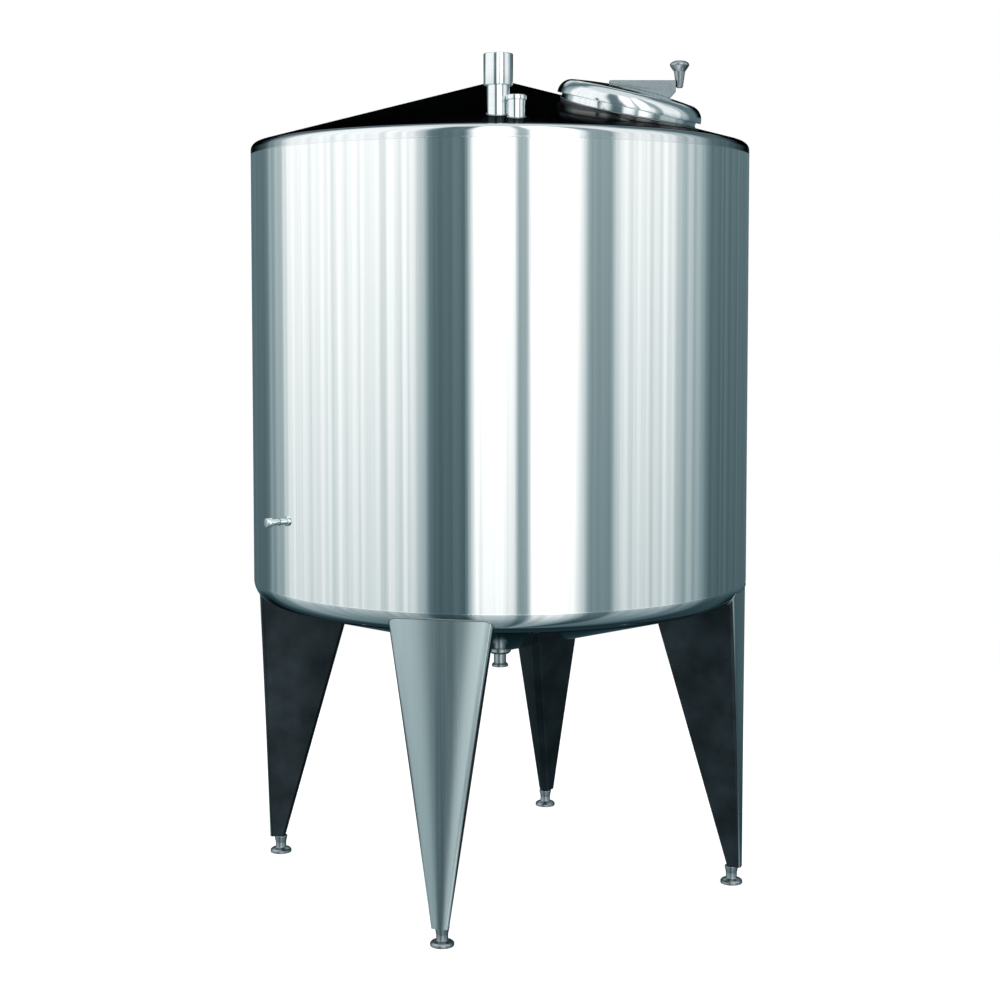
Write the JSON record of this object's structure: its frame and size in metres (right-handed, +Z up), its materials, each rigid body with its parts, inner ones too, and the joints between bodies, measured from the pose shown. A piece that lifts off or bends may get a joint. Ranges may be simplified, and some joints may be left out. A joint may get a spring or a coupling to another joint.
{
  "type": "vertical storage tank",
  "caption": "Upright round stainless steel tank with conical roof and floor, tapered sheet legs on levelling feet, hinged manway, capped inlet and vent, bottom outlet and a side port.",
  "frame": {"origin": "on the tank's upright axis at floor level, under the four feet", "axes": "+Z up along the tank's axis; the front leg stands at -Y and the right leg at +X"},
  "size_m": [1.5, 1.5, 2.4552],
  "materials": {
    "shell_steel": "vertically brushed sheet, semi-bright",
    "head_steel": "smooth rolled sheet, semi-bright",
    "leg_steel": "folded sheet, semi-bright",
    "bright_steel": "polished stainless fittings",
    "gasket_rubber": "matt black rubber"
  },
  "bodies": {
    "tank": {"wall_segment_1": "shell_steel", "wall_segment_2": "shell_steel", "wall_segment_3": "shell_steel", "wall_segment_4": "shell_steel", "wall_segment_5": "shell_steel", "wall_segment_6": "shell_steel", "wall_segment_7": "shell_steel", "wall_segment_8": "shell_steel", "roof_cone": "head_steel", "floor_cone": "head_steel", "leg_front": "leg_steel", "leg_right": "leg_steel", "leg_back": "leg_steel", "leg_left": "leg_steel", "foot_front": "bright_steel", "foot_right": "bright_steel", "foot_back": "bright_steel", "foot_left": "bright_steel", "manway_neck": "bright_steel", "manway_gasket": "gasket_rubber", "hinge_bracket": "bright_steel", "hinge_pin": "bright_steel", "inlet_pipe": "bright_steel", "inlet_cap": "bright_steel", "vent_pipe": "bright_steel", "vent_cap": "bright_steel", "outlet_pipe": "bright_steel", "outlet_pad": "bright_steel", "sample_port": "bright_steel", "sample_port_cap": "bright_steel"},
    "lid": {"manway_lid": "bright_steel", "lid_arm": "bright_steel", "lid_grip": "bright_steel", "hinge_tongue": "bright_steel"}
  },
  "joints": [
    {"name": "lid_hinge", "type": "hinge", "parent": "tank", "child": "lid", "pos_m": [0.36291, 0.12529, 2.35511], "axis": [-0.9487, -0.2286, 0.2185], "range_deg": [0, 100]}
  ]
}
